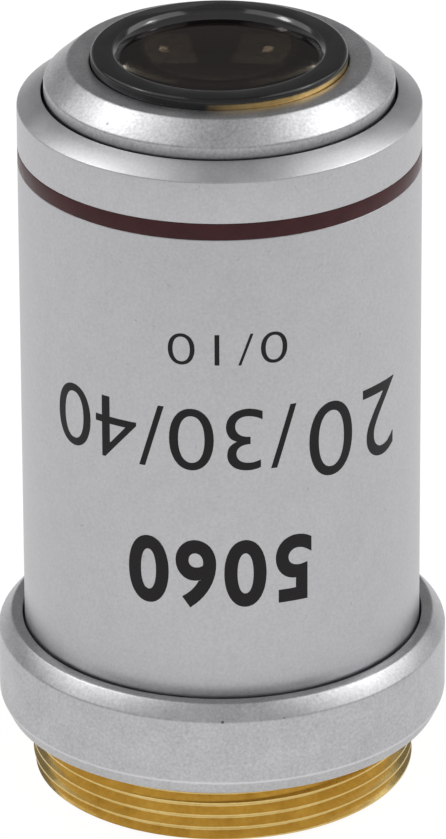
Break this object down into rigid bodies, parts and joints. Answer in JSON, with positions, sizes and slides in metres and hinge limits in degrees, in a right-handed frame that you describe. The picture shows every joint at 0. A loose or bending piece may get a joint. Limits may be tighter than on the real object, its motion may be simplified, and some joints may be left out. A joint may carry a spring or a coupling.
{
  "type": "microscope objective",
  "caption": "Low-power microscope objective with a satin chrome barrel and shoulder collar, a brown colour band, a blackened front lens ring and a bare brass mounting thread.",
  "frame": {"origin": "on the optical axis, in the plane of the mounting shoulder", "axes": "+Z along the optical axis towards the specimen, so the part stands on its thread end; X and Y are across the barrel, with -Y facing the viewer of the picture"},
  "size_m": [0.0238, 0.0238, 0.041],
  "materials": {
    "satin_chrome": "satin",
    "bare_brass": "turned",
    "brown_enamel": "gloss",
    "black_brass": "satin",
    "black_anodised": "matte",
    "lens_glass": "polished",
    "screw_steel": "plain"
  },
  "bodies": {
    "root": {"threaded_body": "bare_brass", "shoulder_collar": "satin_chrome", "outer_sleeve": "satin_chrome", "colour_band": "brown_enamel", "nose_cap": "satin_chrome", "front_cell": "black_brass", "front_lens": "lens_glass", "front_retaining_ring": "black_anodised", "stack_lock_ring": "bare_brass", "middle_cell": "black_anodised", "middle_lens": "lens_glass", "middle_spacer": "black_anodised", "middle_crown": "lens_glass", "middle_flint": "lens_glass", "middle_retaining_ring": "black_anodised", "centring_screws": "screw_steel", "spacer_tube": "black_anodised", "aperture_stop": "black_anodised", "rear_cell": "black_anodised", "rear_flint": "lens_glass", "rear_crown": "lens_glass", "rear_spacer": "black_anodised", "rear_lens": "lens_glass", "rear_retaining_ring": "black_anodised", "parfocal_shim": "bare_brass", "rear_baffle": "black_anodised"}
  },
  "joints": []
}
